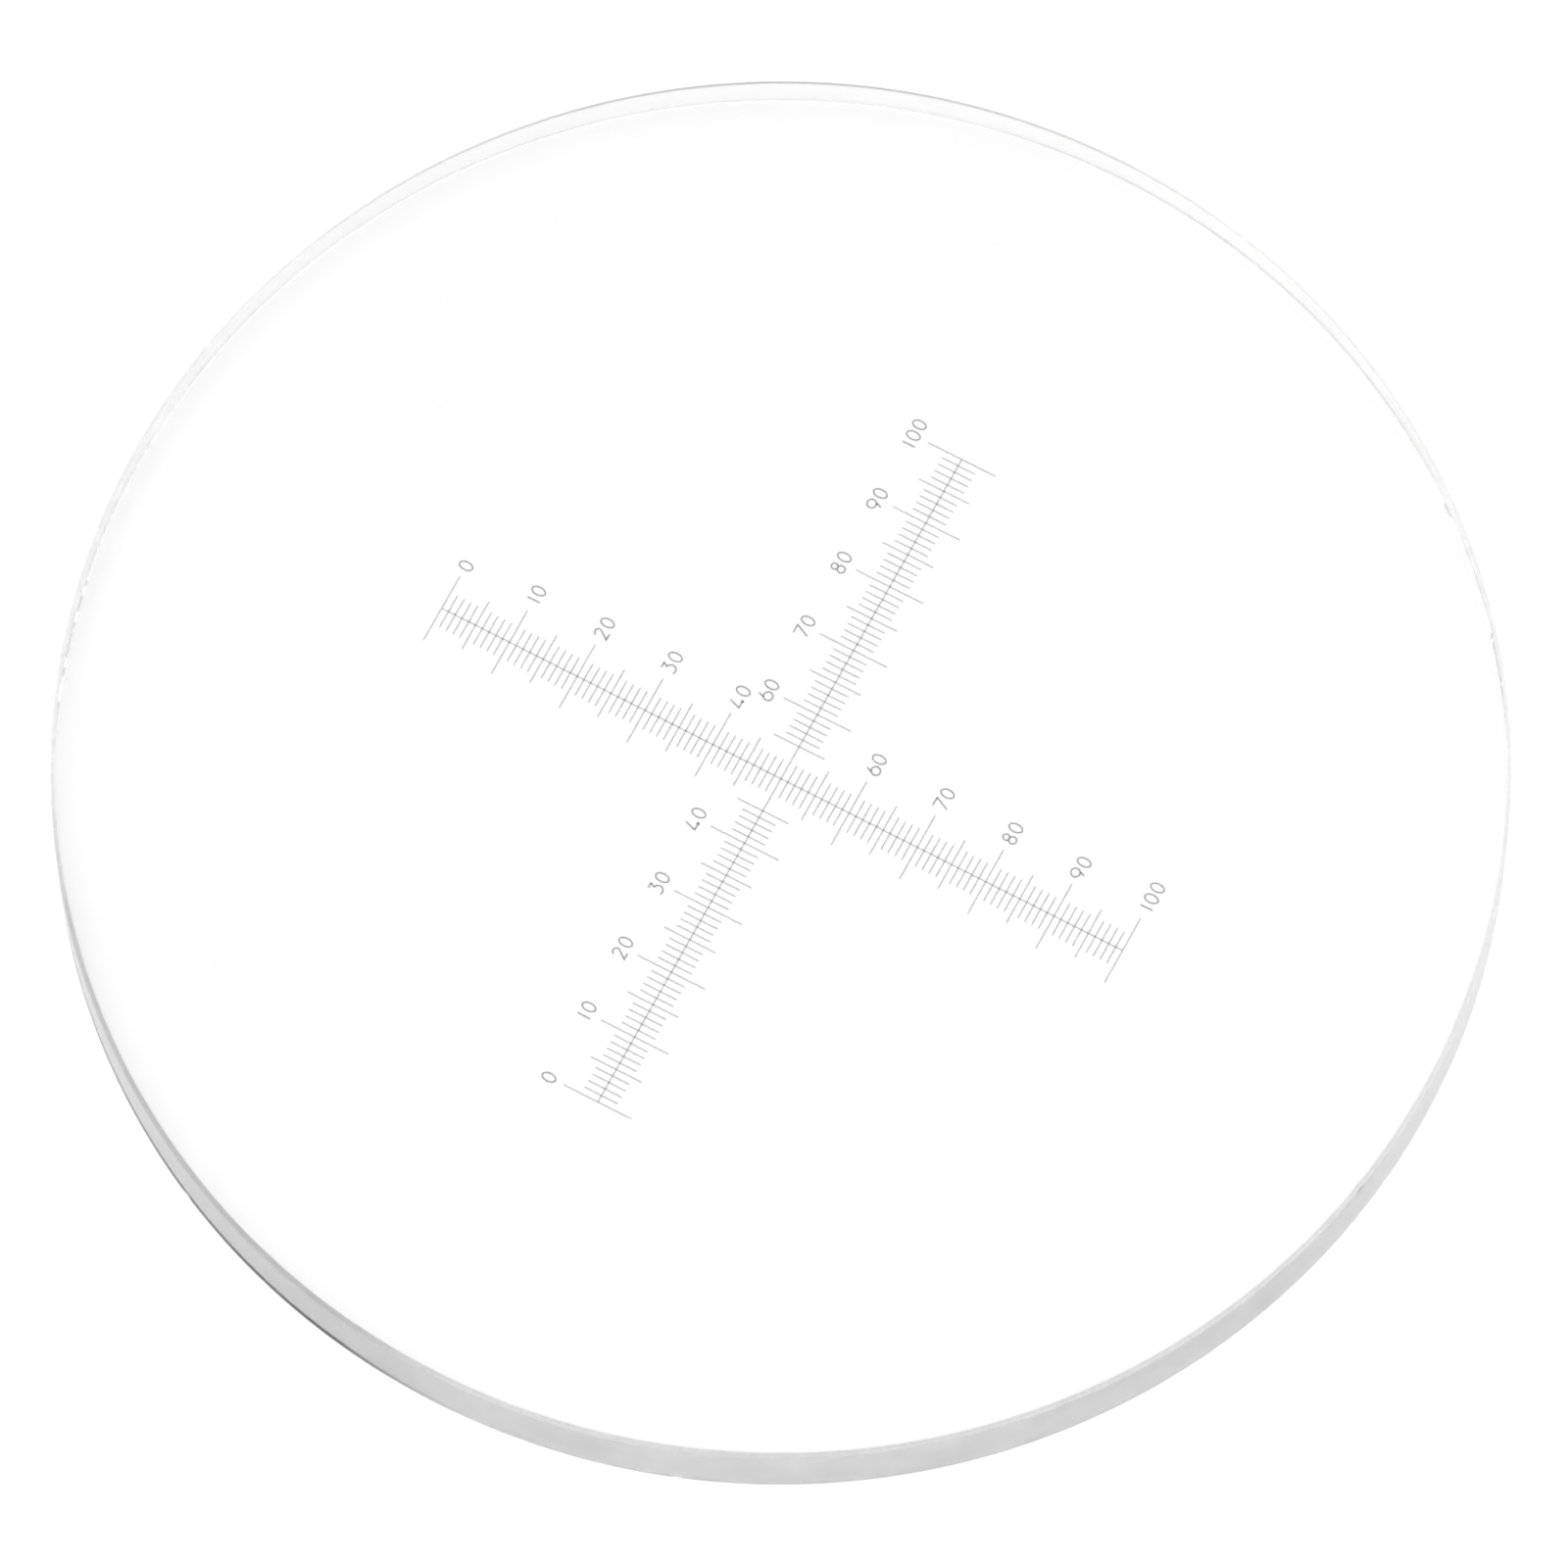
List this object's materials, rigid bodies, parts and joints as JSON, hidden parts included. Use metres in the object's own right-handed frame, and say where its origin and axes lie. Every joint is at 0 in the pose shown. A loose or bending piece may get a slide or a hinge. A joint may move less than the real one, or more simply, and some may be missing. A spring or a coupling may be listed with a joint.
{
  "type": "eyepiece reticle disc",
  "caption": "Thin round glass reticle disc with a ground rim and two crossed millimetre scales with numerals, for the focal plane of an eyepiece.",
  "frame": {"origin": "centre of the lower face, which carries the graduations", "axes": "+Z through the glass towards the eye; +X along the horizontal scale from 0 to 100; +Y towards the 0 of the vertical scale"},
  "size_m": [0.0188, 0.0188, 0.0012],
  "materials": {
    "glass": "clear polished faces, fine-ground rim",
    "film": "thin dark chromium film seen through the glass"
  },
  "bodies": {
    "root": {"glass_disc": "glass", "horizontal_line": "film", "horizontal_unit_ticks": "film", "horizontal_five_ticks": "film", "horizontal_ten_ticks": "film", "vertical_line": "film", "vertical_unit_ticks": "film", "vertical_five_ticks": "film", "vertical_ten_ticks": "film", "horizontal_numeral_0": "film", "horizontal_numeral_10": "film", "horizontal_numeral_20": "film", "horizontal_numeral_30": "film", "horizontal_numeral_40": "film", "horizontal_numeral_60": "film", "horizontal_numeral_70": "film", "horizontal_numeral_80": "film", "horizontal_numeral_90": "film", "horizontal_numeral_100": "film", "vertical_numeral_0": "film", "vertical_numeral_10": "film", "vertical_numeral_20": "film", "vertical_numeral_30": "film", "vertical_numeral_40": "film", "vertical_numeral_60": "film", "vertical_numeral_70": "film", "vertical_numeral_80": "film", "vertical_numeral_90": "film", "vertical_numeral_100": "film"}
  },
  "joints": []
}
